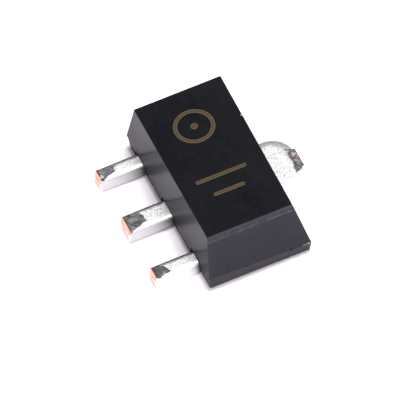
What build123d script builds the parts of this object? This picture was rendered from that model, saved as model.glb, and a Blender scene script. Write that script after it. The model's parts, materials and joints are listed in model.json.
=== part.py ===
from build123d import *
from math import atan2, cos, hypot, radians, sin, tan
import os

# A three-lead power transistor in a flat moulded package with a rear heat-sink tab.
# Frame: +X runs along the row of leads, -Y points at the lead tips, +Y at the tab and +Z up from
# the solder plane. The origin is the middle of the outline on the solder plane. Millimetres.

# --- moulded body -----------------------------------------------------------------------------
body_length = 4.50            # along the row of leads, at the parting line
body_width = 2.46             # from the lead side to the tab side, at the parting line
body_height = 1.50
front_draft = 8.0             # degrees off vertical, upper mould half, lead side
back_draft = 12.5             # degrees, upper mould half, tab side
end_draft = 12.5              # degrees, upper mould half, both ends
lower_side_draft = 4.0        # degrees, lower mould half, lead and tab sides
lower_end_draft = 10.0        # degrees, lower mould half, both ends
corner_radius = 0.07          # upright corners
top_bevel_drop = 0.05         # height of the worn-in bevel round the top face
end_bevel_width = 0.06        # its width at both ends
side_bevel_width = 0.015      # its width at the lead and tab sides, beyond the draft
mould_mismatch = 0.015        # the lower half stands this far proud at the parting line

# --- lead frame sheet -------------------------------------------------------------------------
sheet_thickness = 0.38
lead_pitch = 1.50
lead_length = 1.00            # clear of the body
outer_lead_width = 0.39
centre_lead_width = 0.53
edge_roll = 0.05              # radius that blanking leaves on the leads' upper edges
tip_break = 0.02              # broken edge round the cut ends of the leads

# --- collector tab ----------------------------------------------------------------------------
tab_reach = 0.69              # clear of the body
tab_width = 1.50
tab_shoulder_radius = 0.60
tab_edge_roll = 0.07          # radius on the tab's upper edges
stub_width = 0.54             # what is left of the tie bar
stub_length = 0.045
flag_width = 1.84             # the plate that carries the die
flag_back_inset = 0.22        # from the body's tab side to the end of the wide plate
neck_inset = 0.52             # from the body's lead side to where the centre lead starts to widen
neck_taper_length = 0.30
lock_notch_radius = 0.13      # round notches that key the plate into the resin
lock_notch_inset = 0.42       # from the plate's rear end to the notches
coin_depth = 0.14             # coined step round the underside
coin_width = 0.11

# --- inner ends of the outer leads ------------------------------------------------------------
post_length = 0.46            # along Y
post_inboard = 0.40           # from the lead's centre line towards the middle of the package
post_outboard = 0.27          # from the lead's centre line towards the package's end
post_corner_radius = 0.06
post_inset = 0.34             # from the body's lead side to the bond post

# --- die, solder and bond wires ---------------------------------------------------------------
die_size = 0.80
die_thickness = 0.20
die_inset = 1.42              # from the body's lead side to the die's centre
solder_thickness = 0.03
solder_foot = 0.06            # how far the solder spreads past the die
solder_lip = 0.01             # and how far it still stands out at the die's underside
wire_diameter = 0.05
ball_diameter = 0.13
ball_height = 0.035
ball_rim = 0.012              # broken rim of the squashed ball
stitch_diameter = 0.12
stitch_height = 0.022
loop_height = 0.30            # above the die
wire_bend_radius = 0.10
wire_landing = 0.20           # length of the shallow run into the stitch
wire_landing_rise = 0.03      # how far that run climbs
base_pad_x = -0.22            # bond pads, from the die's centre
base_pad_y = -0.22
emitter_pad_x = 0.20
emitter_pad_y = -0.04
stitch_inset = 0.14           # from the post's inner end to the stitch's centre

overall_depth = lead_length + body_width + tab_reach
y_tip = -overall_depth / 2
y_front = y_tip + lead_length
y_back = y_front + body_width
y_tab_end = y_back + tab_reach
y_flag_back = y_back - flag_back_inset
y_neck = y_front + neck_inset
y_post = y_front + post_inset
y_die = y_front + die_inset
z_parting = sheet_thickness
z_solder = sheet_thickness + solder_thickness
z_die = z_solder + die_thickness


def mould_section(z, end_inset, front_inset, back_inset):
    """Rounded rectangle at height z, drawn in from the parting line's outline."""
    length = body_length - 2 * end_inset
    width = body_width - front_inset - back_inset
    middle = (y_front + front_inset + y_back - back_inset) / 2
    return Pos(0, middle, z) * RectangleRounded(length, width, corner_radius)


def lower_mould_half():
    """The half below the parting line, which narrows down to the solder plane."""
    side = z_parting * tan(radians(lower_side_draft))
    end = z_parting * tan(radians(lower_end_draft))
    return loft([mould_section(0, end, side, side), mould_section(z_parting, 0, 0, 0)], ruled=True)


def upper_mould_half():
    """The half above the parting line: four drafted walls and a narrow bevel round the top."""
    insets = []
    for z in (z_parting, body_height - top_bevel_drop, body_height):
        rise = z - z_parting
        insets.append([z] + [mould_mismatch + rise * tan(radians(draft))
                             for draft in (end_draft, front_draft, back_draft)])
    insets[-1][1] += end_bevel_width
    insets[-1][2] += side_bevel_width
    insets[-1][3] += side_bevel_width
    return loft([mould_section(*inset) for inset in insets], ruled=True)


def plate(outline, z_low, z_high):
    """A flat piece of sheet between two heights."""
    return extrude(Pos(0, 0, z_low) * outline, z_high - z_low)


def lead_bar(x, width, y_end):
    """A straight lead from its cut tip to y_end, with rolled upper edges."""
    length = y_end - y_tip
    bar = Pos(x, y_tip + length / 2, sheet_thickness / 2) * Box(width, length, sheet_thickness)
    bar = fillet(bar.edges().filter_by(Axis.Y).group_by(Axis.Z)[-1], edge_roll)
    return chamfer(bar.faces().sort_by(Axis.Y)[0].edges(), tip_break)


def tab_part():
    """The rear tab: straight sides and round shoulders with rolled upper edges, and the tie bar's stub."""
    y_root, y_end = y_flag_back - coin_width, y_tab_end - stub_length
    outline = Pos(0, (y_root + y_end) / 2) * Rectangle(tab_width, y_end - y_root)
    outline = fillet(outline.vertices().group_by(Axis.Y)[-1], tab_shoulder_radius)
    tab = plate(outline, 0, sheet_thickness)
    tab = fillet(tab.edges().group_by(Axis.Z)[-1].sort_by(Axis.Y)[1:], tab_edge_roll)
    stub_run = stub_length + 2 * tab_edge_roll
    return tab + plate(Pos(0, y_tab_end - stub_run / 2) * Rectangle(stub_width, stub_run), 0, sheet_thickness)


def collector_tab_part():
    """Centre lead, die plate and rear tab, blanked as one and coined round the underside."""
    half, neck = flag_width / 2, centre_lead_width / 2
    y_wide = y_neck + neck_taper_length
    flag = make_face(Polyline((-neck, y_neck), (-half, y_wide), (-half, y_flag_back), (half, y_flag_back),
                              (half, y_wide), (neck, y_neck), close=True))
    y_notch = y_flag_back - lock_notch_inset
    for side in (-1, 1):
        flag -= Pos(side * half, y_notch) * Circle(lock_notch_radius)
    upper = plate(flag, coin_depth, sheet_thickness)
    lower = plate(offset(flag, -coin_width, kind=Kind.INTERSECTION), 0, coin_depth)
    lead = lead_bar(0, centre_lead_width, y_wide)
    return (upper + lower + tab_part() + lead).solid()


def outer_lead_part(side):
    """An outer lead with the wide bond post that its inner end carries; side is -1 or +1."""
    x = side * lead_pitch
    x_in, x_out = x - side * post_inboard, x + side * post_outboard
    centre = ((x_in + x_out) / 2, y_post + post_length / 2)
    post = Pos(*centre) * RectangleRounded(post_inboard + post_outboard, post_length, post_corner_radius)
    root = y_post + post_length / 2
    return (lead_bar(x, outer_lead_width, root) + plate(post, coin_depth, sheet_thickness)
            - plate(Pos(x, y_post + post_length) * Rectangle(2 * outer_lead_width, 2 * post_length - 2 * coin_width),
                    0, coin_depth)).solid()


def die_part():
    """The silicon die, square and sawn."""
    return (Pos(0, y_die, z_solder + die_thickness / 2) * Box(die_size, die_size, die_thickness)).solid()


def solder_part():
    """The solder under the die, with its sloping rim."""
    foot, lip = die_size + 2 * solder_foot, die_size + 2 * solder_lip
    return loft([Pos(0, y_die, sheet_thickness) * Rectangle(foot, foot),
                 Pos(0, y_die, z_solder) * Rectangle(lip, lip)], ruled=True).solid()


def bond_wire_part(side, pad_x, pad_y, post):
    """A bond wire in one vertical plane: ball on the die, loop, shallow landing and stitch on the post."""
    x0, y0 = pad_x, y_die + pad_y
    x1, y1 = side * (lead_pitch - post_inboard + stitch_inset), y_post + post_length - stitch_inset
    reach, heading = hypot(x1 - x0, y1 - y0), atan2(y1 - y0, x1 - x0)

    def point(along, z):
        return (x0 + along * cos(heading), y0 + along * sin(heading), z)

    z_low = sheet_thickness + wire_diameter / 2
    corners = [point(0, z_die + ball_height / 2), point(0, z_die + loop_height),
               point(reach - wire_landing, z_low + wire_landing_rise), point(reach, z_low)]
    path = FilletPolyline(*corners, radius=wire_bend_radius)
    wire = sweep(Plane(origin=path @ 0, z_dir=path % 0) * Circle(wire_diameter / 2), path=path)
    ball = Pos(x0, y0, z_die + ball_height / 2) * Cylinder(ball_diameter / 2, ball_height)
    ball = chamfer(ball.edges().filter_by(GeomType.CIRCLE), ball_rim)
    stitch = Pos(x1, y1, sheet_thickness + stitch_height / 2) * Cylinder(stitch_diameter / 2, stitch_height)
    return (wire + ball + stitch - post).solid()


def mould_body_part(inner_parts):
    """The resin body, moulded round everything that it holds."""
    body = lower_mould_half() + upper_mould_half()
    for inner in inner_parts:
        body -= inner
    return body.solid()


def build():
    """All the pieces, by name."""
    parts = {
        "collector_tab": collector_tab_part(),
        "base_lead": outer_lead_part(-1),
        "emitter_lead": outer_lead_part(1),
        "die_attach_solder": solder_part(),
        "transistor_die": die_part(),
    }
    parts["base_bond_wire"] = bond_wire_part(-1, base_pad_x, base_pad_y, parts["base_lead"])
    parts["emitter_bond_wire"] = bond_wire_part(1, emitter_pad_x, emitter_pad_y, parts["emitter_lead"])
    parts["mould_body"] = mould_body_part(list(parts.values()))
    return parts


if __name__ == "__main__":
    os.makedirs("parts", exist_ok=True)
    for name, part in build().items():
        export_step(part, f"parts/{name}.step")
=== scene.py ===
import json
import math

import bpy
import numpy as np
from bpy.props import FloatProperty, FloatVectorProperty, PointerProperty
from mathutils import Matrix, Vector


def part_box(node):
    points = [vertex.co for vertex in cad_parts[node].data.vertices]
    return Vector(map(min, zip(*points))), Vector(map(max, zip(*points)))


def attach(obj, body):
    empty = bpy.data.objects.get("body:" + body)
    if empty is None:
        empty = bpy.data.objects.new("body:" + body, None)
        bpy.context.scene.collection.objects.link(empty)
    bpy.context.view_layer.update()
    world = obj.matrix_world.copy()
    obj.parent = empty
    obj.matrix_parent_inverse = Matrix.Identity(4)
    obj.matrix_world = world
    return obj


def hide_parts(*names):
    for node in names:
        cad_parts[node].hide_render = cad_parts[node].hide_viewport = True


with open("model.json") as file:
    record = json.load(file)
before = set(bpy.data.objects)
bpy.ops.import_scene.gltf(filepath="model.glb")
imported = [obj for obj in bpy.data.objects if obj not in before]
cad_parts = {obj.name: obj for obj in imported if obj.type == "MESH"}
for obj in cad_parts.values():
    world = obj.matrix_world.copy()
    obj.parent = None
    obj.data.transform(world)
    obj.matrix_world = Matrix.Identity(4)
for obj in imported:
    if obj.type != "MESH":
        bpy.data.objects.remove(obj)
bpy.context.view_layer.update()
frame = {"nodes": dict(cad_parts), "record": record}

bl_info = {
    "name": "Flat Power Transistor",
    "version": (1, 0, 0),
    "blender": (4, 5, 0),
    "location": "3D View > Sidebar > Transistor",
    "description": "Dresses a three-lead moulded transistor with a rear heat-sink tab",
    "category": "Object",
}

MM = 0.001
BODY_LOW, BODY_HIGH = (np.array(corner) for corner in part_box("mould_body"))
TAB_LOW, TAB_HIGH = (np.array(corner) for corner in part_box("collector_tab"))
POST_LOW, POST_HIGH = (np.array(corner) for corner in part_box("emitter_lead"))
SHEET = TAB_HIGH[2]
Y_TIP, Y_TAB_END = TAB_LOW[1], TAB_HIGH[1]
MOUNTS = {mount["name"]: mount["pos_m"] for mount in frame["record"]["mounts"]}
TINY = 1e-12
PLATE = "matt_tin_plate"
# Half the width of each lead's hole in the wall, in millimetres.
LEAD_SEAMS = {"base_lead_face": 0.20, "collector_lead_face": 0.27, "emitter_lead_face": 0.20}
# Places and radii of small marks, in millimetres: pale chips; pits, dented and painted near-black as painted
# shade;
# lumps at the lead roots, painted near-black as painted shade; and tan resin bled out at the foot.
CHIPS = ((2.25, 1.207, 0.302, 0.048), (2.25, 1.315, 0.302, 0.052), (2.25, 1.26, 0.302, 0.030),
         (2.22, -0.27, 0.20, 0.018), (-0.80, 1.13, 1.50, 0.030))
PITS = ((-1.24, -1.07, 0.06, 0.080), (0.33, -1.07, 0.05, 0.080), (1.83, -1.07, 0.09, 0.080),
        (1.97, -1.07, 0.09, 0.050), (2.25, 0.885, 0.325, 0.045), (2.25, -0.167, 0.365, 0.025),
        (2.23, -0.61, 0.47, 0.022))
SHADE_LUMPS = ((-1.71, -1.08, 0.35, 0.048), (-0.28, -1.08, 0.35, 0.042), (1.31, -1.08, 0.35, 0.062))
STAINS = ((1.77, -1.05, 0.03, 0.050), (1.87, -1.05, 0.01, 0.040), (1.97, -1.05, 0.02, 0.045),
          (2.07, -1.05, 0.06, 0.040), (0.31, -1.05, 0.01, 0.035), (-1.23, -1.05, 0.00, 0.035))


def length(millimetres, description):
    """A length setting, written in millimetres and kept in metres."""
    return FloatProperty(description=description, default=millimetres * MM, unit="LENGTH", precision=6)


def angle(degrees, description):
    """An angle setting, written in degrees and kept in radians."""
    return FloatProperty(description=description, default=math.radians(degrees), subtype="ANGLE")


def amount(value, description):
    """A plain number."""
    return FloatProperty(description=description, default=value, precision=3)


def colour(value, description):
    """A linear colour."""
    return FloatVectorProperty(description=description, default=value, size=3, min=0.0, max=1.0,
                               subtype="COLOR")


class ResinSettings(bpy.types.PropertyGroup):
    """Sizes and colours of the moulded body."""

    front_draft: angle(8.0, "Slope of the upper wall on the lead side")
    back_draft: angle(12.5, "Slope of the upper wall on the tab side")
    end_draft: angle(12.5, "Slope of both upper end walls")
    lower_side_draft: angle(4.0, "Slope of the long walls below the parting line")
    lower_end_draft: angle(10.0, "Slope of the end walls below the parting line")
    corner_radius: length(0.026, "Radius of the upright corners at the foot")
    top_radius: length(0.014, "Radius of the upright corners at the top face")
    bevel_drop: length(0.125, "Height of the rubbed edge at the +X end of the top")
    end_bevel: length(0.045, "Width of that rubbed edge")
    # The bevel at the +X end of the top carries a painted sheen.
    sharp_bevel: length(0.010, "Width of the rounding on the other three top edges")
    sag: length(0.075, "How far the parting line drops at the tab end of the +X wall")
    flare: length(0.018, "How far both long sides stand out at the -X end, above the parting line")
    mismatch: length(0.004, "Ledge at the parting line")
    flash: length(0.005, "How far the resin flash stands out of the parting line")
    top_colour: colour((0.0030, 0.0036, 0.0064), "Matt moulding compound on the top face")
    wall_colour: colour((0.0310, 0.0305, 0.0432), "Smoother compound on the drafted walls")
    # sheen_colour is a painted sheen: the compound painted paler on the +X top edge and the corners.
    sheen_colour: colour((0.140, 0.138, 0.158), "Compound polished pale by rubbing")
    chipped_colour: colour((0.90, 0.88, 0.80), "Filler laid bare in a chip")
    pit_depth: length(0.055, "Depth of the moulding pits")
    chip_depth: length(0.012, "Depth of the pale chips")
    # The lumps beside the leads are painted near-black: painted shade of the gap at each lead's root.
    shade_lump_height: length(0.060, "Height of the resin crumbs beside the leads")
    wave_height: length(0.003, "Height of the slow waves in the walls")
    fray_depth: length(0.004, "How far the top edges are nibbled away")
    grain: length(0.040, "Size of the spark-eroded grain that the mould leaves")


class PlatingSettings(bpy.types.PropertyGroup):
    """Sizes and colours of the plated lead frame."""

    outer_width: length(0.39, "Width of the base and emitter leads")
    centre_width: length(0.53, "Width of the collector lead")
    edge_roll: length(0.06, "Radius of the sheet's upper edges")
    tab_width: length(1.50, "Width of the rear tab")
    thinning: amount(0.05, "Share of its thickness that the sheet lacks outside the body")
    tip_length: length(0.13, "Length of the slant at the +X side of a lead's tip")
    tip_slant: length(0.07, "How far that side slants in at the tip")
    shoulder: length(0.53, "Radius of the tab's round shoulders")
    stub_width: length(0.54, "Width of the tie bar's stub")
    stub_length: length(0.060, "Length of the tie bar's stub")
    stub_excess: length(0.020, "How far the stub stands out past the solid's end")
    flag_back: length(0.22, "From the body's tab side to the end of the die plate")
    neck: length(0.52, "From the body's lead side to where the centre lead widens")
    neck_taper: length(0.30, "Length over which the centre lead widens")
    coin_depth: length(0.14, "Height of the coined step under the plate")
    coin_width: length(0.11, "Width of the coined step under the plate")
    post_length: length(0.46, "Length of the bond posts inside the body")
    band_length: length(0.205, "Length of the scraped band where the tie bar was cut off")
    band_flare: amount(0.37, "How fast that band widens away from the cut")
    burst: length(0.045, "How far the foot of a sheared end leans out")
    smear: length(0.13, "Width of the strip that the shearing tool smeared smooth")
    grain: length(0.017, "Size of the matt tin's crystals")
    grain_height: length(0.0030, "Relief of the matt tin's crystals")
    tin: colour((0.93, 0.925, 0.92), "Matt tin plate")
    # hollow is painted shade in the hollows between the tin's crystals.
    hollow: colour((0.30, 0.29, 0.285), "Dull hollows between the tin's crystals")
    worn: colour((0.090, 0.086, 0.084), "Scraped plating near the cut ends")
    copper: colour((0.74, 0.29, 0.19), "Copper laid bare by the cut")


class MarkSettings(bpy.types.PropertyGroup):
    """Sizes and colours of the laser-etched index mark."""

    stroke: length(0.098, "Width of an etched line")
    lift: length(0.003, "How far the etched lines stand clear of the resin")
    ring_radius: length(0.42, "Radius of the index ring")
    dot_radius: length(0.085, "Radius of the dot inside the ring")
    ring_x: length(-0.98, "Ring centre along the row of leads")
    bar_x: length(0.72, "Middle of the bars along the row of leads")
    bar_gap: length(0.46, "Distance between the two bars")
    bar_length: length(1.22, "Length of a bar from front to back")
    mark_y: length(0.07, "Middle of the mark from front to back")
    rim: colour((0.215, 0.160, 0.092), "Melted rim of an etched line")
    core: colour((0.105, 0.076, 0.045), "Middle of an etched line")


class StageSettings(bpy.types.PropertyGroup):
    """Camera, lamps and floor."""

    azimuth: angle(71.57, "Camera direction round the part, from the lead side")
    elevation: angle(52.55, "Camera height above the floor")
    roll: angle(-6.68, "Turn of the camera about its own axis")
    distance: length(300.0, "From the camera to the part: it has no perspective")
    framing: length(8.7765, "Width of the view at the part")
    target_x: length(0.2877, "Point that the camera looks at")
    target_y: length(-0.4152, "Point that the camera looks at")
    target_z: length(0.60, "Point that the camera looks at")
    floor_size: length(900.0, "Side of the floor")
    floor_colour: colour((0.82, 0.79, 0.835), "Share of light that the floor scatters")
    floor_seen: amount(2.3, "How many times brighter the floor is where it is seen")
    floor_mirrored: amount(2.4, "How many times brighter it is where it is mirrored")
    softbox: amount(11.5, "Radiance of the overhead softbox")
    side_lamp: amount(2.5, "Radiance of the lamp at the +X end")
    room: amount(0.25, "Radiance of the room that lights the part")
    room_seen: amount(1.3, "Radiance of the white tent that the camera sees")
    room_mirrored: amount(0.85, "Radiance of the white tent that the part mirrors")


# --- shader expressions -----------------------------------------------------------------------


class Value:
    """A shader socket in a Python expression: each operation adds a Math node to its tree."""

    def __init__(self, tree, socket):
        self.tree = tree
        self.socket = socket

    def math(self, operation, *values, clamp=False):
        """A Math node on those values, in that order."""
        node = self.tree.nodes.new("ShaderNodeMath")
        node.operation = operation
        node.use_clamp = clamp
        for socket, value in zip(node.inputs, values):
            plug(self.tree, socket, value)
        return Value(self.tree, node.outputs[0])

    def __add__(self, other):
        return self.math("ADD", self, other)

    def __sub__(self, other):
        return self.math("SUBTRACT", self, other)

    def __rsub__(self, other):
        return self.math("SUBTRACT", other, self)

    def __mul__(self, other):
        return self.math("MULTIPLY", self, other)

    __radd__ = __add__

    def clamped(self):
        """This value held between 0 and 1."""
        return self.math("ADD", self, 0.0, clamp=True)


def plug(tree, socket, value):
    """Links a Value to a socket, or sets the socket to a constant; a colour of three numbers is opaque."""
    if isinstance(value, Value):
        tree.links.new(value.socket, socket)
    elif socket.type == "RGBA" and len(value) == 3:
        socket.default_value = (*value, 1.0)
    else:
        socket.default_value = value


class Shader:
    """A material whose nodes are written as expressions."""

    def __init__(self, name):
        self.material = bpy.data.materials.new(name)
        self.material.use_nodes = True
        self.tree = self.material.node_tree
        self.tree.nodes.clear()

    def node(self, kind, settings=None, sockets=None, output=0):
        """Adds a node of a kind: its settings come first, then the values or links of its sockets."""
        node = self.tree.nodes.new(kind)
        for key, value in (settings or {}).items():
            setattr(node, key, value)
        for key, value in (sockets or {}).items():
            plug(self.tree, node.inputs[key], value)
        return Value(self.tree, node.outputs[output])

    def place(self):
        """Object coordinates."""
        return self.node("ShaderNodeTexCoord", output="Object")

    def mask(self, name):
        """A number kept at each point of the mesh."""
        return self.node("ShaderNodeAttribute", {"attribute_name": name}, output="Fac")

    def masks(self, names):
        """The masks of those names, which stand in one line of text."""
        return [self.mask(name) for name in names.split()]

    def noise(self, size, detail=3.0, roughness=0.55, seed=0.0):
        """Fractal noise whose lumps are about size metres across."""
        moved = self.node("ShaderNodeVectorMath", {"operation": "ADD"},
                          {0: self.place(), 1: (seed * size, 0, 0)})
        return self.node("ShaderNodeTexNoise", {},
                         {"Vector": moved, "Scale": 0.5 / size, "Detail": detail, "Roughness": roughness})

    def tracks(self, size, turn, stretch):
        """Noise drawn out along a line that is turned about Z: scratches about size metres wide."""
        turned = self.node("ShaderNodeMapping", {"vector_type": "TEXTURE"},
                           {"Vector": self.place(), "Rotation": (0.0, 0.0, turn),
                            "Scale": (stretch, 1.0, 1.0)})
        return self.node("ShaderNodeTexNoise", {},
                         {"Vector": turned, "Scale": 0.5 / size, "Detail": 2.0, "Roughness": 0.6})

    def window(self, value, low, high):
        """0 below low and 1 above high, smooth between."""
        return self.node("ShaderNodeMapRange", {"interpolation_type": "SMOOTHSTEP"},
                         {"Value": value, "From Min": low, "From Max": high})

    def blend(self, factor, first, second):
        """first where factor is 0, second where it is 1."""
        return self.node("ShaderNodeMix", {"data_type": "RGBA"},
                         {0: factor, 6: first, 7: second}, output=2)

    def coats(self, shade, *coats):
        """A shade under coats of other colours, each a factor and a colour, the last on top."""
        for factor, tint in coats:
            shade = self.blend(factor, shade, tint)
        return shade

    def bump(self, height, distance, strength):
        """A surface relief of that height in metres where the height value is 1."""
        return self.node("ShaderNodeBump", {},
                         {"Height": height, "Distance": distance, "Strength": strength})

    def principled(self, **sockets):
        """Ends the material in a Principled BSDF; socket names have spaces for underscores."""
        named = {key.replace("_", " "): value for key, value in sockets.items()}
        return self.finish(self.node("ShaderNodeBsdfPrincipled", {}, named))

    def finish(self, surface):
        """Ends the material in that surface shader."""
        out = self.tree.nodes.new("ShaderNodeOutputMaterial")
        self.tree.links.new(surface.socket, out.inputs["Surface"])
        return self.material


# --- surfaces ---------------------------------------------------------------------------------


def lattice_noise(points, size, seed):
    """Value noise: a random number at each corner of a lattice of that size, blended between corners
    by 3f^2 - 2f^3 along each axis."""
    spot = points / size
    cell = np.floor(spot).astype(np.int64)
    part = spot - cell
    part = part * part * (3.0 - 2.0 * part)
    total = np.zeros(len(points))
    for corner in np.ndindex(2, 2, 2):
        key = (cell + corner) @ np.array([73856093, 19349663, 83492791]) + seed * 2654435761
        key = (key ^ (key >> 13)) * 1274126177 & 0x7FFFFFFF
        key = (key ^ (key >> 15)) * 2246822519 & 0x7FFFFFFF
        weight = np.prod(np.where(corner, part, 1.0 - part), axis=1)
        total += weight * (key % 65536) / 65535.0
    return total


def fractal(points, size, seed, octaves=3):
    """Lattice noise summed over octaves, each half the size and half the weight of the last, 0 to 1."""
    weights = 0.5 ** np.arange(octaves)
    layers = [weight * lattice_noise(points, size * weight, seed + 17 * step)
              for step, weight in enumerate(weights)]
    return sum(layers) / weights.sum()


def smooth(value, low, high):
    """0 below low, 1 above high and 3f^2 - 2f^3 between."""
    part = np.clip((value - low) / (high - low), 0.0, 1.0)
    return part * part * (3.0 - 2.0 * part)


def ramp(metres, low, high):
    """smooth for a value in metres, between bounds in millimetres."""
    return smooth(metres, low * MM, high * MM)


def gathered(low, high, steps, spots=(), reach=0.0, fine=0.0):
    """Evenly spaced grid lines from low to high, with finer ones within reach of each spot."""
    lines = [np.linspace(low, high, steps)]
    for spot in spots:
        lines.append(np.arange(spot - reach, spot + reach + fine / 2, fine))
    lines = np.unique(np.round(np.clip(np.concatenate(lines), low, high) / (MM * 1e-3)) * (MM * 1e-3))
    keep = np.concatenate([[True], np.diff(lines) > 0.45 * (fine or (high - low) / steps)])
    lines = lines[keep]
    lines[0], lines[-1] = low, high
    return lines


def block_skin(columns, rows, layers):
    """The skin of a block lattice: index triples of its outermost points and the quads that close it."""
    i, j, k = np.meshgrid(np.arange(columns), np.arange(rows), np.arange(layers), indexing="ij")
    outer = (i % (columns - 1) == 0) | (j % (rows - 1) == 0) | (k % (layers - 1) == 0)
    number = np.full(outer.shape, -1)
    number[outer] = np.arange(outer.sum())

    def sheet(patch, outward):
        """The quads of one side of the block."""
        corners = [patch[:-1, :-1], patch[1:, :-1], patch[1:, 1:], patch[:-1, 1:]]
        quads = np.stack(corners, axis=-1).reshape(-1, 4)
        return quads if outward else quads[:, ::-1]

    quads = np.concatenate([sheet(number[:, :, -1], True), sheet(number[:, :, 0], False),
                            sheet(number[-1], True), sheet(number[0], False),
                            sheet(number[:, 0], True), sheet(number[:, -1], False)])
    return i[outer], j[outer], k[outer], quads


def rounded_plan(x, y, low_x, high_x, low_y, high_y, front_radius, back_radius):
    """Turns a rectangle's corners round: in a corner, each square ring is pulled in to a quarter circle."""
    radius = np.where(y < (low_y + high_y) / 2, front_radius, back_radius)
    in_x = radius - np.minimum(x - low_x, high_x - x)
    in_y = radius - np.minimum(y - low_y, high_y - y)
    corner = (in_x > 0) & (in_y > 0)
    pull = np.where(corner, 1.0 - np.maximum(in_x, in_y) / np.maximum(np.hypot(in_x, in_y), TINY), 0.0)
    x = x + np.where(x < (low_x + high_x) / 2, 1.0, -1.0) * in_x * pull
    y = y + np.where(y < (low_y + high_y) / 2, 1.0, -1.0) * in_y * pull
    return x, y


def normals_of(points, quads):
    """Unit normal at each point: the sum of the cross products of the diagonals of its quads."""
    corners = points[quads]
    facing = np.cross(corners[:, 2] - corners[:, 0], corners[:, 3] - corners[:, 1])
    total = np.zeros_like(points)
    for axis in range(3):
        total[:, axis] = sum(np.bincount(quads[:, corner], facing[:, axis], len(points))
                             for corner in range(4))
    return total / np.maximum(np.linalg.norm(total, axis=1, keepdims=True), TINY)


def edge_roll(height, bottom, top, steps):
    """Layers of an upright wall whose edges are quarter circles: heights, and how far each is drawn in."""
    turn = np.linspace(0.0, np.pi / 2, steps)
    back = turn[::-1]
    middle = np.linspace(bottom, height - top, 2 * steps)[1:-1]
    heights = [bottom * (1 - np.cos(turn)), middle, height - top * (1 - np.cos(back))]
    insets = [bottom * (1 - np.sin(turn)), np.zeros_like(middle), top * (1 - np.sin(back))]
    return np.concatenate(heights), np.concatenate(insets)


def piece(name, points, quads, masks, material, stands_for=()):
    """Makes an object of points and quads, smooth, with its masks, material and place in the frame."""
    mesh = bpy.data.meshes.new(name)
    mesh.vertices.add(len(points))
    mesh.vertices.foreach_set("co", points.astype(np.float32).ravel())
    mesh.loops.add(quads.size)
    mesh.loops.foreach_set("vertex_index", quads.astype(np.int32).ravel())
    mesh.polygons.add(len(quads))
    mesh.polygons.foreach_set("loop_start", np.arange(0, quads.size, 4, dtype=np.int32))
    mesh.polygons.foreach_set("use_smooth", np.ones(len(quads), dtype=bool))
    for key, values in masks.items():
        layer = mesh.attributes.new(key, "FLOAT", "POINT")
        layer.data.foreach_set("value", np.asarray(values, np.float32))
    mesh.update(calc_edges=True)
    mesh.validate()
    mesh.materials.append(material)
    made = bpy.data.objects.new(name, mesh)
    bpy.context.scene.collection.objects.link(made)
    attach(made, "root")
    if stands_for:
        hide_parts(*stands_for)
    return made


# --- materials --------------------------------------------------------------------------------


def resin_material(resin):
    """Black moulding compound: matt spark-eroded top, smoother drafted walls, chipped edges, painted sheen
    on the top and its +X edge, and painted shade in the pits and beside the leads.
    """
    shader = Shader("moulded_resin")
    wall, rubbed, chipped, pit, gloss, haze, lower, stain = shader.masks(
        "wall rubbed chipped pit gloss haze lower stain")
    size, top = resin.grain, 1.0 - wall
    grain = shader.noise(size, detail=4.0, roughness=0.65)
    mottle = shader.noise(size * 2.4, detail=3.0, roughness=0.6, seed=9.0)
    speck = shader.window(shader.noise(size * 0.6, detail=2.0, seed=40.0), 0.64, 0.76)
    streak = shader.window(shader.noise(size * 1.5, detail=2.0, seed=61.0), 0.42, 0.62)
    cloud = shader.window(shader.noise(size * 5.0, detail=3.0, roughness=0.6, seed=5.0), 0.35, 0.65)
    fine = shader.noise(size * 0.5, detail=3.0, roughness=0.7, seed=3.0)
    lift = shader.window(grain * 0.6 + mottle * 0.4, 0.40, 0.66)
    # sheen_and_cloud_tone paints the top paler: painted sheen towards its edges, and random clouds.
    sheen_and_cloud_tone, pale_top, pale_wall = (0.0155, 0.0160, 0.0195), (0.024, 0.025, 0.032), (0.040, 0.038, 0.054)
    cloudy_wall, paler_brown_foot, filler = (0.046, 0.045, 0.060), (0.064, 0.054, 0.053), (0.15, 0.15, 0.17)
    # painted_shade is painted shade: near-black for the pits, the lumps at the lead roots and the joints
    # beside the leads.
    painted_shade, tan = (0.012, 0.008, 0.005), (0.30, 0.150, 0.080)
    shade = shader.coats(
        shader.blend(wall, resin.top_colour, resin.wall_colour),
        (haze * top, sheen_and_cloud_tone), (lift * 0.30 * top, pale_top), (lift * 0.25 * wall, pale_wall),
        (cloud * 0.20 * wall, cloudy_wall), (cloud * 0.22 * top, sheen_and_cloud_tone), (lower * 0.45, paler_brown_foot),
        (speck * 0.05, filler), (rubbed * (0.55 + streak * 0.45), resin.sheen_colour),
        (chipped, resin.chipped_colour), (pit, painted_shade), (stain, tan))
    roughness = 0.60 - wall * 0.25 + grain * 0.15 + chipped * 0.2 + pit * 0.3
    relief = shader.bump(grain * (1.0 - wall * 0.85) + fine * (0.5 - wall * 0.42), 0.004 * MM, 0.6)
    return shader.principled(Base_Color=shade, Roughness=roughness.clamped(), Normal=relief,
                             Specular_IOR_Level=0.09, IOR=1.5,
                             Coat_Weight=(gloss * 0.205 - pit - rubbed * 0.3).clamped(),
                             Coat_Roughness=0.07, Coat_IOR=1.5)


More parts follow.
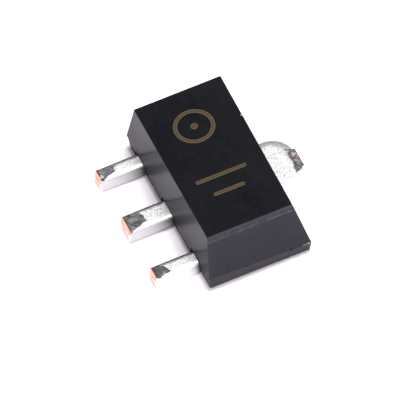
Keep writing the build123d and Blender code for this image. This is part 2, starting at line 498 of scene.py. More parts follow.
def plating_material(plating):
    """Matt tin over copper: bright crystals with painted shade in their hollows, rolled edges and lead sides
    with painted shade, scraped patches with painted glints, and the copper of the cut with a painted
    highlight.
    """
    shader = Shader(PLATE)
    worn, bare, rolled, smeared, dull, sheared, soot, deep, burr, core, polished = shader.masks(
        "worn bare rolled smeared dull sheared soot deep burr core polished")
    size = plating.grain
    crystal = shader.noise(size, detail=2.0, roughness=0.55)
    fine = shader.noise(size * 0.55, detail=2.0, roughness=0.6, seed=12.0)
    blotch = shader.noise(size * 4.0, detail=2.0, roughness=0.5, seed=21.0)
    hollow = shader.window(crystal * 0.5 + fine * 0.5 + (blotch - 0.5) * 0.05, 0.42, 0.58)
    hollow = hollow * (1.0 - smeared)
    tracks = shader.tracks(0.012 * MM, math.radians(40.0), 5.0)
    streak = shader.window(tracks * 0.6 + blotch * 0.4, 0.42, 0.60)
    glint = shader.window(crystal * 0.5 + tracks * 0.5, 0.45, 0.53)
    # scored_and_shade_grey, side_shade_tone and edge_shade_grey are painted shade on the lead sides and on
    # the -X edges.
    scored_and_shade_grey, side_shade_tone, edge_shade_grey = (0.36, 0.34, 0.35), (0.050, 0.042, 0.038), (0.075, 0.066, 0.066)
    # bright is the painted highlight of the glints.
    scratch, tarnish, bright = (0.26, 0.265, 0.275), (0.10, 0.035, 0.025), (0.72, 0.73, 0.78)
    # copper_highlight is the painted highlight of the cut copper.
    copper_highlight, dark_copper = (1.0, 0.76, 0.42), (0.22, 0.035, 0.035)
    tin = shader.coats(plating.tin, (hollow * dull, plating.hollow), (sheared * 0.55, scored_and_shade_grey),
                       (soot, side_shade_tone), (rolled * (0.80 + fine * 0.4).clamped(), edge_shade_grey))
    scraped = shader.coats(plating.worn, (streak * deep, scratch), (burr, tarnish),
                           (polished * glint, bright))
    copper = shader.coats(plating.copper, (core * (0.20 + fine * 0.9), copper_highlight), (burr, dark_copper))
    shade = shader.coats(tin, (worn, scraped), (bare, copper))
    roughness = 0.40 + hollow * 0.15 + worn * 0.15 - bare * 0.05
    relief = shader.bump((1.0 - hollow) * 0.5 + fine * 0.5 * (1.0 - smeared), 0.004 * MM, 0.4)
    return shader.principled(Base_Color=shade, Metallic=(0.88 + worn * 0.1).clamped(),
                             Roughness=roughness.clamped(), Normal=relief)


def mark_material(mark):
    """Laser-etched resin: tan where the compound melted at the rim of a line, darker along its middle."""
    shader = Shader("etched_resin")
    speckle = shader.noise(0.03 * MM, detail=3.0, roughness=0.7)
    rim, burnt = shader.window(shader.mask("across"), 0.45, 0.85), (0.06, 0.048, 0.036)
    shade = shader.coats(mark.core, (rim, mark.rim), (shader.window(speckle, 0.50, 0.72) * 0.45, burnt))
    relief = shader.bump(speckle, 0.004 * MM, 0.8)
    return shader.principled(Base_Color=shade, Roughness=0.75, Specular_IOR_Level=0.2, Normal=relief)


def inner_material(name, first, second, rough, size):
    """A sealed inner piece of metal or silicon: two tones in fine cloudy grain, with a light relief."""
    shader = Shader(name)
    grain = shader.noise(size, detail=4.0, roughness=0.6)
    shade = shader.blend(shader.window(grain, 0.35, 0.65), first, second)
    relief = shader.bump(grain, 0.002 * MM, 0.5)
    return shader.principled(Base_Color=shade, Metallic=1.0, Normal=relief,
                             Roughness=(rough + grain * 0.12).clamped())


# --- pieces -----------------------------------------------------------------------------------


class TRANSISTOR_OT_body(bpy.types.Operator):
    """Makes the moulded resin body: drafted walls, parting line, painted sheen on the +X end, chips, and
    moulding pits and lead joints with painted shade
    """

    bl_idname = "transistor.body"
    bl_label = "Moulded Body"

    def profile(self, resin):
        """Heights up the wall, and how far the -X end, the +X end, the lead side and the tab side are
        drawn in at each: draft away from the parting line, and a rounding at the top."""
        height = BODY_HIGH[2]
        start, sharp = height - resin.bevel_drop, height - resin.sharp_bevel
        turn = np.linspace(0.0, np.pi / 2, 6)
        # Layers lie closer together near the parting line, where the ledge and the flash are.
        near = SHEET + np.linspace(-0.04, 0.04, 17) * MM
        z = np.concatenate([np.linspace(0.0, near[0], 10)[:-1], near,
                            np.linspace(near[-1], start, 30)[1:-1], np.linspace(start, sharp, 10)[:-1],
                            height - resin.sharp_bevel * (1 - np.sin(turn))])
        above, below = np.maximum(z - SHEET, 0.0), np.maximum(SHEET - z, 0.0)
        ledge = resin.mismatch * smooth(z, SHEET, SHEET + 0.010 * MM)
        # The bevelled +X top edge, which carries a painted sheen, is part straight bevel and part quarter
        # ellipse.
        rise = np.clip((z - start) / resin.bevel_drop, 0.0, 1.0)
        rub = resin.end_bevel * (0.35 * rise + 0.65 * (1 - np.sqrt(1 - rise ** 2)))
        round_in = resin.sharp_bevel * (1 - np.sqrt(1 - np.clip((z - sharp) / resin.sharp_bevel, 0, 1) ** 2))
        lower_side = below * math.tan(resin.lower_side_draft)
        ends = above * math.tan(resin.end_draft) + below * math.tan(resin.lower_end_draft) + ledge
        front = above * math.tan(resin.front_draft) + lower_side + ledge * 0.5 + round_in
        back = above * math.tan(resin.back_draft) + lower_side + ledge + round_in
        return z, ends + round_in, ends + rub, front, back

    def skin(self, resin):
        """Points and quads of the body, and each point's height before the parting line sags."""
        z, left, right, front, back = self.profile(resin)
        low, high = BODY_LOW, BODY_HIGH
        radius = resin.corner_radius
        reach, fine, beside = 0.10 * MM, 0.013 * MM, 0.02
        beside_leads = [MOUNTS[name][0] + side * (half + beside) * MM
                        for name, half in LEAD_SEAMS.items() for side in (-1, 1)]
        x_spots = [*beside_leads, low[0] + radius / 2, high[0] - radius / 2]
        y_spots = [low[1] + radius / 2, CHIPS[2][1] * MM, high[1] - radius / 2]
        x_lines = gathered(low[0], high[0], 120, x_spots, reach, fine)
        y_lines = gathered(low[1], high[1], 80, y_spots, reach, fine)
        i, j, k, quads = block_skin(len(x_lines), len(y_lines), len(z))
        low_x, high_x = low[0] + left[k], high[0] - right[k]
        low_y, high_y = low[1] + front[k], high[1] - back[k]
        share_x = (x_lines[i] - low[0]) / (high[0] - low[0])
        share_y = (y_lines[j] - low[1]) / (high[1] - low[1])
        corner = radius + (resin.top_radius - radius) * z[k] / high[2]
        x, y = rounded_plan(low_x + share_x * (high_x - low_x), low_y + share_y * (high_y - low_y),
                            low_x, high_x, low_y, high_y, corner, corner)
        # The sag is whole at the parting line and falls to nothing at the foot and at the top.
        height = z[k]
        share = np.where(height < SHEET, height / SHEET, (high[2] - height) / (high[2] - SHEET))
        sag = resin.sag * ramp(x, 1.2, 2.2) * smooth(y, low[1], high[1])
        middle, half = (low[1] + high[1]) / 2, (high[1] - low[1]) / 2
        flare = resin.flare * smooth(-x, low[0], high[0]) * smooth(height, SHEET, SHEET + 0.010 * MM)
        y = y + flare * (y - middle) / half
        return np.stack([x, y, height - sag * share], axis=1), quads, height

    def execute(self, context):
        resin = context.scene.transistor_resin
        points, quads, height = self.skin(resin)
        x, y = points[:, 0], points[:, 1]
        top = BODY_HIGH[2]
        normal = normals_of(points, quads)
        on_wall = 1.0 - smooth(np.abs(normal[:, 2]), 0.70, 0.95)
        # Marks on the skin, and how far they move it in or out.
        rubbed = self.rubbed(points, normal, resin)
        chipped = self.spots(points, CHIPS, 83, 2.2)
        pit = self.spots(points, PITS, 71)
        # shade_lump: small raised lumps at the lead roots, painted near-black as painted shade.
        shade_lump = self.spots(points, SHADE_LUMPS, 29)
        # root_shade: painted shade on the lead-side wall around each lead.
        root_shade = self.seams(points) * smooth(-normal[:, 1], 0.5, 0.9)
        waves = (fractal(points, 0.9 * MM, 3, 2) - 0.5) * resin.wave_height
        seam = np.exp(-((height - SHEET) / (0.006 * MM)) ** 2) * on_wall
        ragged = smooth(fractal(points, 0.16 * MM, 31), 0.35, 0.70)
        fray = smooth(fractal(points, 0.05 * MM, 57), 0.45, 0.75)
        fray *= ramp(points[:, 2] - top, -0.04, -0.01) * on_wall
        move = waves + seam * ragged * resin.flash - pit * resin.pit_depth - chipped * resin.chip_depth
        move += shade_lump * resin.shade_lump_height - fray * resin.fray_depth
        points = points + normal * (move * ramp(points[:, 2], 0.0, 0.02))[:, None]
        # Shades: the walls are glossier than the top, and duller below the parting line, where they turn
        # paler and browner towards the foot.
        below = ramp(SHEET - height, 0.0, 0.02)
        matt = np.where(normal[:, 1] < -0.5, 0.85, 0.75 * ramp(points[:, 2], 0.05, 0.30))
        # Painted sheen: the top paler towards its back edge and both ends, darker in the middle, with random
        # clouds.
        haze = 0.02 + 0.42 * ramp(y, 0.30, 1.0) + 0.25 * ramp(-x, 0.6, 2.0)
        haze += 0.22 * ramp(x, 0.3, 1.6) + 0.8 * (fractal(points, 0.7 * MM, 91) - 0.5)
        foot = 0.35 + 1.2 * ramp(SHEET - height, 0.06, 0.26)
        gloss = on_wall * (1.0 - below * matt) * (0.66 + 0.34 * ramp(points[:, 2], 0.4, 1.3))
        # pit: the pits, the lumps and the lead joints, all painted near-black as painted shade.
        painted_shade = np.maximum(smooth(np.maximum(pit, shade_lump), 0.2, 0.7), root_shade)
        masks = {"wall": on_wall, "gloss": gloss, "rubbed": rubbed, "chipped": smooth(chipped, 0.25, 0.7),
                 "pit": painted_shade, "lower": below * on_wall * foot, "haze": np.clip(haze, 0.0, 1.0),
                 "stain": smooth(self.spots(points, STAINS, 47), 0.15, 0.6)}
        piece("moulded_body", points, quads, masks, resin_material(resin), ["mould_body"])
        return {"FINISHED"}

    def rubbed(self, points, normal, resin):
        """Painted sheen, where the compound is painted paler: the rounded +X top edge with a bright line
        along its foot, and faintly the upright corners and both sides of the +X end wall."""
        foot = BODY_HIGH[2] - resin.bevel_drop
        facing = smooth(normal[:, 0], 0.5, 0.8) * smooth(-normal[:, 2], -0.9, -0.6)
        band = smooth(points[:, 2], foot - 0.01 * MM, foot + 0.01 * MM) * 0.34
        along = smooth(lattice_noise(points * (1.0, 1.0, 0.2), 0.30 * MM, 19), 0.25, 0.6)
        line = np.exp(-((points[:, 2] - foot) / (0.024 * MM)) ** 2) * (0.55 + 0.45 * along)
        corner = smooth(-normal[:, 0] * normal[:, 1], 0.12, 0.4) * 0.28
        ends = ramp(points[:, 1], 0.75, 1.25) + ramp(-points[:, 1], 0.80, 1.05)
        corner = np.maximum(corner, facing * ends * 0.10)
        return np.clip(facing * np.maximum(band, line) + corner, 0.0, 1.0)

    def seams(self, points):
        """The seam where the compound meets each lead, 1 at the metal and fading away from it: a joint
        deepened with painted shade. It is wider below, on the +X side of each lead, where it is painted
        shade only, though less so at the emitter lead."""
        total = np.zeros(len(points))
        for name, half in LEAD_SEAMS.items():
            centre = MOUNTS[name][0]
            aside = np.maximum(np.abs(points[:, 0] - centre) - half * MM, 0.0)
            away = np.hypot(aside, np.maximum(points[:, 2] - SHEET, 0.0)) / (0.030 * MM)
            total = np.maximum(total, np.exp(-away ** 2))
            # Painted shade beside each lead on its +X side, below the parting line.
            shade_beside_lead = (points[:, 0] > centre) * ramp(SHEET - points[:, 2], -0.02, 0.05)
            shade_beside_lead = shade_beside_lead * (0.3 if centre > 0 else 1.0)
            total = np.maximum(total, shade_beside_lead * np.exp(-(aside / (0.085 * MM)) ** 2))
        return total * smooth(fractal(points, 0.06 * MM, 23), 0.20, 0.5) * 0.95

    def spots(self, points, places, seed, flat=1.0):
        """Ragged round spots, 1 in the middle of each and 0 outside it, and flat times as long as high."""
        total = np.zeros(len(points))
        for x, y, z, radius in places:
            away = (points - np.array([x, y, z]) * MM) * (1.0, 1.0, flat) / (radius * MM)
            away = np.linalg.norm(away, axis=1)
            total = np.maximum(total, np.exp(-1.6 * away ** 2))
        return total * (0.55 + 0.45 * smooth(fractal(points, 0.045 * MM, seed), 0.3, 0.6))


def strip(plating, limits, y_from, y_to, steps, shoulder=0.0):
    """A strip of sheet carried along Y: limits(y, z) gives its low and high X, and its top edges are
    rolled. A shoulder radius rounds its far end, which then ends in the tie bar's stub. Returns the points,
    the quads, each point's share of the sheet's height and its distance from the -X and far edges."""
    z, inset = edge_roll(SHEET, 0.004 * MM, plating.edge_roll, 7)
    y_lines = gathered(y_from, y_to, steps[1], [y_from + 0.03 * MM], 0.03 * MM, 0.006 * MM)
    i, j, k, quads = block_skin(steps[0], len(y_lines), len(z))
    across = i / (steps[0] - 1)
    tab = smooth(y_lines[j], BODY_HIGH[1] - 0.2 * MM, BODY_HIGH[1]) * (shoulder > 0)
    draw = inset[k] * (1.0 + tab * (1.1 - 1.8 * smooth(across, 0.45, 0.75)))
    far = y_to - (draw if shoulder else 0.0)
    y = y_from + (y_lines[j] - y_from) / (y_to - y_from) * (far - y_from)
    low_x, high_x = limits(y, z[k])
    low_x, high_x = low_x + draw, high_x - draw * (1.6 - 0.7 * tab)
    x = low_x + (high_x - low_x) * across
    rim = x - low_x
    if shoulder:
        rim = np.minimum(rim, far - y + np.maximum(x + 0.05 * MM, 0.0))
        x, y = rounded_plan(x, y, low_x, high_x, y_from, far, 0.0, shoulder - draw)
        past_stub = np.abs(x) - plating.stub_width / 2
        on_stub = ramp(-past_stub, -0.010, 0.006) * ramp(y - y_to, -0.16, -0.02)
        y = y + on_stub * (plating.stub_length + draw * 0.8)
    else:
        tip = smooth(y_from + plating.tip_length - y, 0.0, plating.tip_length)
        x = x - tip * tip * plating.tip_slant * z[k] / SHEET * across
    outside = ramp(np.maximum(BODY_LOW[1] - y, y - BODY_HIGH[1]), -0.10, 0.0)
    height = z[k] * (1.0 - plating.thinning * outside)
    return np.stack([x, y, height], axis=1), quads, z[k] / SHEET, rim


def patch_masks(x, y, inside, ragged, upward, glints, shine):
    """Masks of the scraped patches, from the depth inside them: worn all over, deep away from their edges,
    where shine is how much of the scratches shows, and polished, the painted highlights on the glints."""
    polished = np.zeros(len(x))
    for place_x, place_y, radius, strength in glints:
        away = np.hypot(x - place_x * MM, y - place_y * MM) / (radius * MM) + (ragged - 0.5) * 1.2
        polished = np.maximum(polished, strength * (1.0 - smooth(away, 0.7, 1.1)))
    return {"worn": ramp(inside, -0.018, 0.016) * smooth(upward, 0.35, 0.65),
            "deep": ramp(inside, -0.02, 0.06) * shine, "polished": polished}


def cut_masks(points, normal, level, share, ragged, cut, seed):
    """Masks of the sheared ends: bare copper and its core, a painted highlight across its middle, and the
    reddish burr along the upper rim of the cuts and on the tab's torn lip."""
    x, y = points[:, 0], points[:, 1]
    near_cut = np.zeros(len(points))
    for sign, place in cut:
        faces = smooth(sign * normal[:, 1], 0.6, 0.9)
        near_cut = np.maximum(near_cut, faces * ramp(sign * (y - place), -0.03, -0.015))
    # Plating dragged down by the shears hides the copper at the foot, except for a faint trace.
    foot = 0.32 + 0.36 * share ** 2
    trace = 0.42 * (1.0 - smooth(share, 0.60, 0.95))
    bare = near_cut * np.maximum(smooth(level - foot + 0.3 * (ragged - 0.5), -0.07, 0.07), trace)
    # core is a painted highlight: a paler band across the middle of the cut copper.
    core = 0.35 + 0.65 * smooth(fractal(points, 0.12 * MM, seed + 15), 0.35, 0.6)
    core *= np.exp(-((level - 0.74) / 0.13) ** 2)
    lip = ramp(y + 0.018 * MM * ramp(x, -0.12, -0.02) - Y_TAB_END, -0.015, -0.003)
    torn = lip * smooth(level, 0.6, 0.8) * (1.0 - ramp(np.abs(x + 0.07 * MM), 0.09, 0.16))
    torn *= smooth(ragged, 0.30, 0.50)
    torn_edge = 1.0 - ramp(np.abs(y - Y_TIP - 0.012 * MM), 0.012, 0.030)
    burr = np.maximum(near_cut * smooth(level, 0.84, 0.96) * (0.55 - 0.35 * share), torn * 0.7)
    burr = np.maximum(burr, torn_edge * smooth(ragged, 0.2, 0.6) * (1.0 - near_cut))
    return {"bare": np.maximum(bare, torn * 0.8), "core": core, "burr": burr}


def side_masks(points, normal, level, rim, to_edge, ragged, worn, plating, seed):
    """Masks of the rolled -X edges, which carry painted shade, of the smeared strip along the +X edge,
    to_edge away from it, and of the sides, which the shears marked with striae and which carry painted shade
    near the body and along their foot."""
    x, y = points[:, 0], points[:, 1]
    root, on_tab = BODY_LOW[1], y > 0
    # Painted shade: the edges facing -X and the -X rim of the top painted greyer.
    toward_edge = normal @ np.array([-0.9, 0.43, 0.0])
    rolled = smooth(toward_edge, 0.04, 0.55) * smooth(normal[:, 2], -0.3, 0.1)
    reach = np.where(on_tab, 0.075, 0.042) * (0.8 + 0.4 * fractal(points, 0.12 * MM, seed + 21)) * MM
    along_rim = 0.9 * np.exp(-(rim / reach) ** 2) * smooth(normal[:, 2], 0.80, 0.97)
    rolled = np.maximum(rolled, along_rim) * (1.0 - worn)
    rolled *= np.where(on_tab, 0.55 * ramp(-x, -0.1, 0.1), 1.0)
    sheared = smooth(-normal[:, 2], -0.5, -0.2)
    smear = ramp(plating.smear * (0.75 + 0.5 * ragged) - to_edge, -0.012, 0.010)
    smear *= smooth(-y, -root - 0.05 * MM, -root)
    outside = np.maximum(root - y, 0.0)
    on_lead = smooth(-y, -root - 0.1 * MM, -root)
    near_root = 1.0 - ramp(outside, 0.0, 0.9)
    # lit: the +X lead, which light reaches freely, gets less painted shade.
    lit = ramp(x, 0.5, 1.3)
    striae = smooth(lattice_noise(points * (1.0, 0.08, 1.0), 0.035 * MM, seed + 1), 0.2, 0.8)
    # scored_and_shaded: striae from the shears, greyer near the body as painted shade, less on the +X lead.
    scored_and_shaded = sheared * on_lead * near_root * (0.35 + 0.65 * striae) * (1.0 - 0.8 * lit)
    # Painted shade on the lead sides: greyer near the body and along their foot, lighter on the +X lead.
    root_shade = 0.33 + 0.52 * np.exp(-outside / (0.16 * MM))
    wedge = (1.0 - smooth(level, 0.02, 0.32)) * (0.05 + 0.75 * near_root)
    soot = np.maximum(root_shade, wedge) * (1.0 - 0.93 * lit) + 0.85 * lit * np.exp(-outside / (0.05 * MM))
    # dull: how much painted shade the crystal hollows get, fading out towards +X on the tab, where light
    # washes it out.
    dull = np.where(y > root + 0.2 * MM, 0.60 * (1.0 - ramp(x, 0.34, 0.72)), 0.58)
    return {"rolled": rolled, "dull": dull, "sheared": scored_and_shaded,
            "soot": soot * smooth(normal[:, 0], 0.3, 0.8) * on_lead,
            "smeared": np.maximum(smear, sheared * 0.85)}


def plated(name, node, shape, limits, scraped, cut, seed, plating, glints, shine):
    """Dresses a strip of sheet, which stands for that node, as tin-plated copper.
    scraped(x, y, ragged) is the depth inside its scraped patches, and cut the direction and Y of its
    sheared ends. glints are painted highlights in those patches: place and radius in millimetres, and
    strength.
    shine is how much of the patches' scratches shows."""
    points, quads, level, rim = shape
    normal = normals_of(points, quads)
    x, y = points[:, 0], points[:, 1]
    low_x, high_x = limits(y, points[:, 2])
    share = (x - low_x) / np.maximum(high_x - low_x, TINY)
    ragged = fractal(points, 0.07 * MM, seed + 3)
    jagged = (fractal(points, 0.03 * MM, seed + 11) - 0.5) * 0.06 * MM
    masks = patch_masks(x, y, scraped(x, y, ragged) + jagged, ragged, normal[:, 2], glints, shine)
    masks.update(cut_masks(points, normal, level, share, ragged, cut, seed))
    masks.update(side_masks(points, normal, level, rim, high_x - x, ragged, masks["worn"], plating, seed))

    # The relief of the crystals, scratches and cuts, and the foot of a cut end, which leans out.
    crystals = (fractal(points, plating.grain * 2.0, seed + 9, 2) - 0.5) * plating.grain_height * 2.0
    crystals *= smooth(normal[:, 2], 0.80, 0.97) * (1.0 - masks["smeared"])
    scratches = masks["worn"] * (0.004 + 0.008 * fractal(points, 0.045 * MM, seed + 5))
    grooves = masks["bare"] * 0.010 * fractal(points, 0.06 * MM, seed + 7)
    relief = crystals - (scratches + grooves) * MM
    points = points + normal * (relief * smooth(level, 0.0, 0.1))[:, None]
    lean = ramp(Y_TIP + 0.10 * MM - y, 0.0, 0.10) * (1.0 - np.clip(level, 0.0, 1.0)) ** 0.7
    points[:, 1] -= lean * plating.burst * (0.7 + 0.6 * ragged)
    material = bpy.data.materials.get(PLATE) or plating_material(plating)
    piece(name, points, quads, masks, material, [node])


def patch_depth(patch, share, y, ragged):
    """Depth inside the scraped patch at a lead's tip: patch gives its length in millimetres at shares of
    the lead's width, and ragged noise moves its edge."""
    return np.interp(share, *patch) * MM * (0.75 + 0.5 * ragged) - (y - Y_TIP) - 0.02 * MM


class TRANSISTOR_OT_leads(bpy.types.Operator):
    """Makes the base and emitter leads, each with its rolled edges, scraped tip and bare copper end"""

    bl_idname = "transistor.leads"
    bl_label = "Outer Leads"

    def execute(self, context):
        plating = context.scene.transistor_plating
        patch = ((0.0, 0.1, 0.3, 0.6, 0.72, 0.85, 1.0), (0.35, 0.38, 0.41, 0.38, 0.21, 0.12, 0.0))
        glints = ((-1.60, -2.01, 0.045, 1.0), (-1.46, -2.03, 0.050, 1.0), (-1.52, -1.96, 0.020, 1.0))
        self.lead("base_lead", patch, 101, plating, glints, 0.8)
        patch = ((0.0, 0.2, 0.38, 0.6, 0.78, 0.9, 1.0), (0.17, 0.26, 0.31, 0.36, 0.38, 0.22, 0.0))
        self.lead("emitter_lead", patch, 102, plating, ((1.60, -1.85, 0.060, 0.30),), 0.30)
        return {"FINISHED"}

    def lead(self, name, patch, seed, plating, glints, shine):
        """One lead. patch gives the length in millimetres of its scraped patch at shares of its width."""
        centre = MOUNTS[name + "_face"][0]
        half = plating.outer_width / 2
        post = POST_HIGH[1] - plating.post_length

        def limits(y, z):
            """The lead's width, and that of the bond post at its inner end."""
            wide = smooth(y, post - 0.01 * MM, post + 0.02 * MM)
            inboard = half + wide * (abs(centre) - POST_LOW[0] - half)
            outboard = half + wide * (POST_HIGH[0] - abs(centre) - half)
            low, high = (inboard, outboard) if centre > 0 else (outboard, inboard)
            return centre - low, centre + high

        def scraped(x, y, ragged):
            """Depth inside the patch that the trimming tool scraped at the tip."""
            return patch_depth(patch, (x - centre + half) / (2 * half), y, ragged)

        shape = strip(plating, limits, Y_TIP, POST_HIGH[1], (44, 96))
        plated(name + "_plated", name, shape, limits, scraped, [(-1, Y_TIP)], seed, plating, glints, shine)


class TRANSISTOR_OT_collector(bpy.types.Operator):
    """Makes the centre lead, die plate and rear tab, one piece of plated sheet"""

    bl_idname = "transistor.collector"
    bl_label = "Collector Tab"

    def execute(self, context):
        plating = context.scene.transistor_plating
        front, back = BODY_LOW[1], BODY_HIGH[1]
        half_lead, half_flag, half_tab = plating.centre_width / 2, TAB_HIGH[0], plating.tab_width / 2
        neck, flag_end = front + plating.neck, back - plating.flag_back
        cut_end = Y_TAB_END + plating.stub_excess
        patch = ((0.0, 0.1, 0.3, 0.5, 0.68, 0.84, 1.0), (0.32, 0.36, 0.41, 0.44, 0.42, 0.24, 0.02))
        glints = ((-0.11, 1.99, 0.060, 1.0), (-0.05, 2.02, 0.045, 1.0), (0.05, 2.005, 0.032, 0.9),
                  (-0.25, 1.91, 0.020, 0.8), (0.20, 1.98, 0.090, 0.22), (0.34, 2.00, 0.070, 0.26))

        def limits(y, z):
            """The centre lead, the widening neck, the die plate with its coined step, and the tab."""
            half = np.interp(y, [neck, neck + plating.neck_taper], [half_lead, half_flag])
            coined = smooth(-z, -plating.coin_depth - 0.004 * MM, -plating.coin_depth + 0.004 * MM)
            half = half - plating.coin_width * coined * smooth(y, neck, neck + plating.neck_taper)
            half = half + smooth(y, flag_end - 0.008 * MM, flag_end + 0.008 * MM) * (half_tab - half)
            return -half, half

        def scraped(x, y, ragged):
            """Depth inside the patch at the tip, and inside the band where the tie bar was cut off."""
            tip = patch_depth(patch, (x + half_lead) / (2 * half_lead), y, ragged)
            end = cut_end - 0.005 * MM
            band = y - (end - plating.band_length * (0.9 + 0.2 * ragged) - 0.12 * np.maximum(x, 0.0))
            flank = plating.stub_width / 2 + (end - y) * plating.band_flare - np.abs(x - 0.015 * MM)
            return np.maximum(tip, np.minimum(band, flank))

        shape = strip(plating, limits, Y_TIP, cut_end - plating.stub_length, (90, 320), plating.shoulder)
        plated("collector_plated", "collector_tab", shape, limits, scraped, [(-1, Y_TIP), (1, cut_end)], 131,
               plating, glints, 1.0)
        return {"FINISHED"}


def stroke(path, half, top, lift, closed):
    """An etched line: a low flat ridge across a path. Its width falls off as a half circle at open ends,
    and its height is that of a shallow groove between two rims."""
    count = len(path)
    ahead = np.roll(path, -1, axis=0) - np.roll(path, 1, axis=0)
    if not closed:
        ahead[0], ahead[-1] = path[1] - path[0], path[-1] - path[-2]
    ahead /= np.linalg.norm(ahead, axis=1, keepdims=True)
    side = np.stack([-ahead[:, 1], ahead[:, 0]], axis=1)
    run = np.concatenate([[0.0], np.cumsum(np.linalg.norm(np.diff(path, axis=0), axis=1))])
    width = np.full(count, half)
    if not closed:
        to_end = np.minimum(run, run[-1] - run)
        width = half * np.sqrt(np.clip(1.0 - (1.0 - np.minimum(to_end / half, 1.0)) ** 2, 0.0004, 1.0))
    u = np.array([-1.0, -0.92, -0.75, -0.5, -0.25, 0.0, 0.25, 0.5, 0.75, 0.92, 1.0])
    height = np.where(np.abs(u) > 0.99, -lift, lift * (0.45 + 0.55 * smooth(np.abs(u), 0.3, 0.8)))
    ring_u = np.concatenate([u, u[-2:0:-1]])
    ring_z = np.concatenate([height, np.full(len(u) - 2, -lift * 1.5)])
    plane = path[:, None, :] + side[:, None, :] * (ring_u[None, :] * width[:, None])[..., None]
    points = np.concatenate([plane, np.broadcast_to(top + ring_z, plane.shape[:2])[..., None]], axis=2)
    ring = len(ring_u)
    number = np.arange(count * ring).reshape(count, ring)
    near = np.concatenate([number, number[:1]]) if closed else number
    near = np.concatenate([near, near[:, :1]], axis=1)
    quads = np.stack([near[:-1, :-1], near[:-1, 1:], near[1:, 1:], near[1:, :-1]], axis=-1).reshape(-1, 4)
    across = np.broadcast_to(np.abs(ring_u), (count, ring)).ravel()
    return points.reshape(-1, 3), quads[:, ::-1], across


class TRANSISTOR_OT_mark(bpy.types.Operator):
    """Makes the generic laser-etched index mark: a ring with a dot, and two plain bars"""

    bl_idname = "transistor.mark"
    bl_label = "Index Mark"

    def execute(self, context):
        mark = context.scene.transistor_mark
        top, half = BODY_HIGH[2], mark.stroke / 2
        turn = np.linspace(0.0, 2 * np.pi, 129)[:-1]
        ring = np.stack([mark.ring_x + mark.ring_radius * np.cos(turn),
                         mark.mark_y + mark.ring_radius * np.sin(turn)], axis=1)
        small = mark.dot_radius / 2
        dot = np.stack([mark.ring_x + small * np.cos(turn[::4]),
                        mark.mark_y + small * np.sin(turn[::4])], axis=1)
        strokes = [stroke(ring, half, top, mark.lift, True),
                   stroke(dot, small * 0.98, top, mark.lift, True)]
        along = np.linspace(-0.5, 0.5, 90) * mark.bar_length
        for side, share in ((-0.5, 1.0), (0.5, 0.62)):
            bar = np.stack([np.full(len(along), mark.bar_x + side * mark.bar_gap),
                            mark.mark_y + along * share], axis=1)
            strokes.append(stroke(bar, half, top, mark.lift, False))
        material = mark_material(mark)
        for name, (points, quads, across) in zip(("ring", "dot", "long_bar", "short_bar"), strokes):
            piece("index_" + name, points, quads, {"across": across}, material)
        return {"FINISHED"}


class TRANSISTOR_OT_inner(bpy.types.Operator):
    """Gives the sealed die, its solder and the bond wires their finishes"""

    bl_idname = "transistor.inner"
    bl_label = "Die And Wires"

    def execute(self, context):
        silicon = inner_material("polished_silicon", (0.17, 0.18, 0.21), (0.24, 0.25, 0.28), 0.15, 0.08 * MM)
        solder = inner_material("satin_solder", (0.38, 0.38, 0.39), (0.52, 0.52, 0.53), 0.35, 0.05 * MM)
        wire = inner_material("drawn_copper", (0.80, 0.38, 0.22), (0.90, 0.50, 0.32), 0.20, 0.03 * MM)
        for name, material in (("transistor_die", silicon), ("die_attach_solder", solder),
                               ("base_bond_wire", wire), ("emitter_bond_wire", wire)):
            mesh = frame["nodes"][name].data
            mesh.materials.clear()
            mesh.materials.append(material)
        return {"FINISHED"}


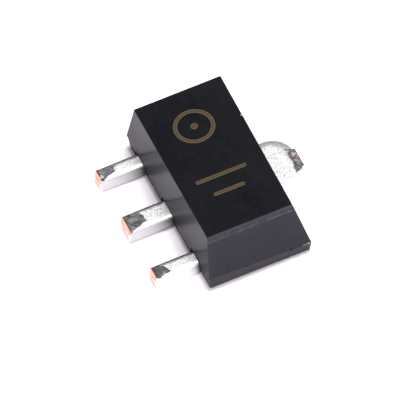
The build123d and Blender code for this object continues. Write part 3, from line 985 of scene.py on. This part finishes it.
class TRANSISTOR_OT_stage(bpy.types.Operator):
    """Makes the floor, the lamps, the room light and the camera"""

    bl_idname = "transistor.stage"
    bl_label = "Stage"

    def execute(self, context):
        stage = context.scene.transistor_stage
        self.floor(stage)
        self.room(context.scene, stage)
        self.lamp("softbox", place=(-0.04, 0.12, 0.62), side=0.24, radiance=stage.softbox)
        self.lamp("side_lamp", place=(0.62, -0.05, 0.14), side=0.52, radiance=stage.side_lamp)
        self.camera(context.scene, stage)
        context.scene.view_settings.view_transform = "Standard"
        return {"FINISHED"}

    def floor(self, stage):
        """A white table that scatters light: it is brighter where it is seen or mirrored than the light
        that it throws back on the part."""
        half = stage.floor_size / 2
        mesh = bpy.data.meshes.new("floor")
        corners = [(-half, -half, 0), (half, -half, 0), (half, half, 0), (-half, half, 0)]
        mesh.from_pydata(corners, [], [(0, 1, 2, 3)])
        floor = bpy.data.objects.new("floor", mesh)
        bpy.context.scene.collection.objects.link(floor)
        shader = Shader("white_table")
        seen, mirrored, scattered, bounced = (
            shader.node("ShaderNodeLightPath", output=key)
            for key in ("Is Camera Ray", "Is Glossy Ray", "Diffuse Depth", "Glossy Depth"))
        mirrored = mirrored * (1.0 - scattered).clamped() * (2.0 - bounced).clamped()
        gain = 1.0 + seen * (stage.floor_seen - 1.0) + mirrored * (stage.floor_mirrored - 1.0)
        shade = shader.node("ShaderNodeVectorMath", {"operation": "SCALE"},
                            {"Vector": stage.floor_colour, "Scale": gain})
        mesh.materials.append(shader.finish(shader.node("ShaderNodeBsdfDiffuse", {}, {"Color": shade})))

    def room(self, scene, stage):
        """A white tent: brighter where it is seen or mirrored than the light that it throws on the part."""
        world = bpy.data.worlds.new("room")
        world.use_nodes = True
        scene.world = world
        tree = world.node_tree
        light_path = tree.nodes.new("ShaderNodeLightPath")
        seen, mirrored, scattered = (Value(tree, light_path.outputs[key])
                                     for key in ("Is Camera Ray", "Is Glossy Ray", "Diffuse Depth"))
        mirrored = mirrored * (1.0 - scattered).clamped()
        strength = mirrored * (stage.room_mirrored - stage.room) + seen * (stage.room_seen - stage.room)
        background = tree.nodes["Background"]
        background.inputs["Color"].default_value = (0.98, 0.96, 1.0, 1.0)
        plug(tree, background.inputs["Strength"], stage.room + strength)

    def lamp(self, name, place, side, radiance):
        """A square area lamp of that radiance, aimed at the part: power is radiance times pi times area."""
        data = bpy.data.lights.new(name, "AREA")
        data.shape = "SQUARE"
        data.size = side
        data.energy = radiance * math.pi * side * side
        lamp = bpy.data.objects.new(name, data)
        lamp.location = place
        lamp.rotation_euler = (-Vector(place)).to_track_quat("-Z", "Y").to_euler()
        bpy.context.scene.collection.objects.link(lamp)

    def camera(self, scene, stage):
        """A camera without perspective, as a very long lens sees a part this small."""
        az, el = stage.azimuth, stage.elevation
        back = Vector((math.sin(az) * math.cos(el), -math.cos(az) * math.cos(el), math.sin(el)))
        data = bpy.data.cameras.new("camera")
        data.type = "ORTHO"
        data.ortho_scale = stage.framing
        data.clip_start, data.clip_end = stage.distance * 0.1, stage.distance * 10
        camera = bpy.data.objects.new("camera", data)
        camera.location = Vector((stage.target_x, stage.target_y, stage.target_z)) + back * stage.distance
        turn = (-back).to_track_quat("-Z", "Y").to_matrix() @ Matrix.Rotation(stage.roll, 3, "Z")
        camera.rotation_euler = turn.to_euler()
        scene.collection.objects.link(camera)
        scene.camera = camera


OPERATORS = (TRANSISTOR_OT_body, TRANSISTOR_OT_leads, TRANSISTOR_OT_collector, TRANSISTOR_OT_mark,
             TRANSISTOR_OT_inner, TRANSISTOR_OT_stage)
SETTINGS = {"transistor_resin": ResinSettings, "transistor_plating": PlatingSettings,
            "transistor_mark": MarkSettings, "transistor_stage": StageSettings}


class TRANSISTOR_PT_panel(bpy.types.Panel):
    """Settings and buttons for the transistor"""

    bl_idname = "TRANSISTOR_PT_panel"
    bl_label = "Transistor"
    bl_space_type = "VIEW_3D"
    bl_region_type = "UI"
    bl_category = "Transistor"

    def draw(self, context):
        for operator in OPERATORS:
            self.layout.operator(operator.bl_idname)
        for key in SETTINGS:
            group = getattr(context.scene, key)
            box = self.layout.box()
            for name in group.__annotations__:
                box.prop(group, name, text=name.replace("_", " ").capitalize())


def register():
    for group in SETTINGS.values():
        bpy.utils.register_class(group)
    for cls in (*OPERATORS, TRANSISTOR_PT_panel):
        bpy.utils.register_class(cls)
    for key, group in SETTINGS.items():
        setattr(bpy.types.Scene, key, PointerProperty(type=group))


def unregister():
    for key in SETTINGS:
        delattr(bpy.types.Scene, key)
    for cls in reversed((*SETTINGS.values(), *OPERATORS, TRANSISTOR_PT_panel)):
        bpy.utils.unregister_class(cls)


def main():
    register()
    for operator in OPERATORS:
        group, name = operator.bl_idname.split(".")
        getattr(getattr(bpy.ops, group), name)()


if __name__ == "__main__":
    main()
